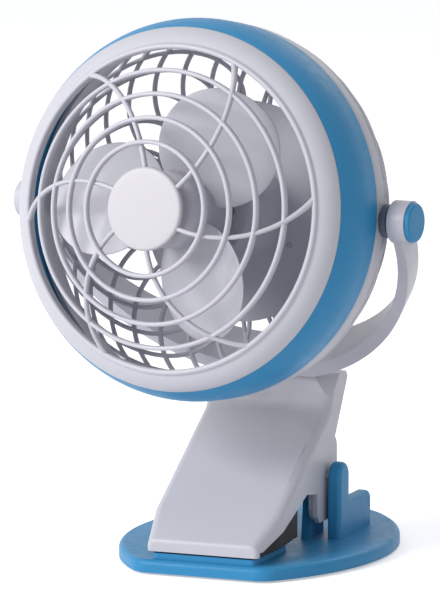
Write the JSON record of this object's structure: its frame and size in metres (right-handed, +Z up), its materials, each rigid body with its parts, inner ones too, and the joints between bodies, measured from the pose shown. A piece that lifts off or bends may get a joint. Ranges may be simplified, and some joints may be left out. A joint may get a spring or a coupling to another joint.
{
  "type": "clip fan",
  "caption": "Small clip-on fan: a caged propeller head that tilts in a round yoke and swivels on a spring clip whose lower jaw is an oval foot.",
  "frame": {"origin": "on the ground under the middle of the oval foot", "axes": "+Z up, +Y towards the back of the clip, the fan blows towards -Y, +X to the right of someone who faces +Y"},
  "size_m": [0.1871, 0.1823, 0.2311],
  "materials": {
    "blue_plastic": "gloss",
    "white_plastic": "satin",
    "dark_rubber": "matte",
    "spring_steel": "satin",
    "bright_steel": "satin",
    "zinc_steel": "satin",
    "magnet_grey": "matte",
    "washer_plastic": "matte",
    "brass": "satin",
    "black_plastic": "satin"
  },
  "bodies": {
    "base": {"base_plate": "blue_plastic", "foot_pads": "dark_rubber", "lower_jaw_pad": "dark_rubber", "hinge_pin": "bright_steel"},
    "jaw": {"jaw_body": "white_plastic", "jaw_back": "white_plastic", "jaw_screws": "bright_steel", "upper_jaw_pad": "dark_rubber", "torsion_spring": "spring_steel"},
    "yoke": {"yoke": "white_plastic", "swivel_bolt": "bright_steel", "swivel_washer": "bright_steel", "swivel_nut": "bright_steel", "pivot_cap_left": "blue_plastic", "pivot_cap_right": "blue_plastic"},
    "head": {"front_grille": "white_plastic", "housing_ring": "blue_plastic", "rear_grille": "white_plastic", "tilt_washers": "washer_plastic", "tilt_screws": "bright_steel", "motor_can": "zinc_steel", "motor_magnets": "magnet_grey", "motor_end_cap": "washer_plastic", "bush_front": "brass", "bush_rear": "brass", "motor_screws": "bright_steel", "motor_cover": "white_plastic", "cover_screws": "bright_steel", "switch_case": "black_plastic", "dc_inlet": "black_plastic"},
    "rotor": {"impeller": "white_plastic", "motor_shaft": "bright_steel", "armature": "bright_steel", "commutator": "brass", "spinner_nut": "bright_steel"},
    "rocker": {"switch_rocker": "black_plastic"}
  },
  "joints": [
    {"name": "clip_open", "type": "hinge", "parent": "base", "child": "jaw", "pos_m": [0, 0.0065, 0.033], "axis": [-1, 0, 0], "range_deg": [0, 25], "stiffness_Nm_per_rad": 0.8, "springref_deg": -51.57, "deforming": ["torsion_spring"]},
    {"name": "yoke_swivel", "type": "hinge", "parent": "jaw", "child": "yoke", "pos_m": [0, 0.02, 0.075], "axis": [0, 0, 1], "range_deg": [-53.5, 66.5]},
    {"name": "head_tilt", "type": "hinge", "parent": "yoke", "child": "head", "pos_m": [-0.00645, -0.03663, 0.15], "axis": [-0.9936, 0.1132, 0], "range_deg": [-45, 75]},
    {"name": "blade_spin", "type": "hinge", "parent": "head", "child": "rotor", "pos_m": [-0.00645, -0.03663, 0.15], "axis": [-0.1125, -0.9872, 0.1132], "continuous": true},
    {"name": "switch_press", "type": "hinge", "parent": "head", "child": "rocker", "pos_m": [-0.00259, -0.00271, 0.15466], "axis": [-0.9936, 0.1132, 0], "range_deg": [0, 16]}
  ]
}
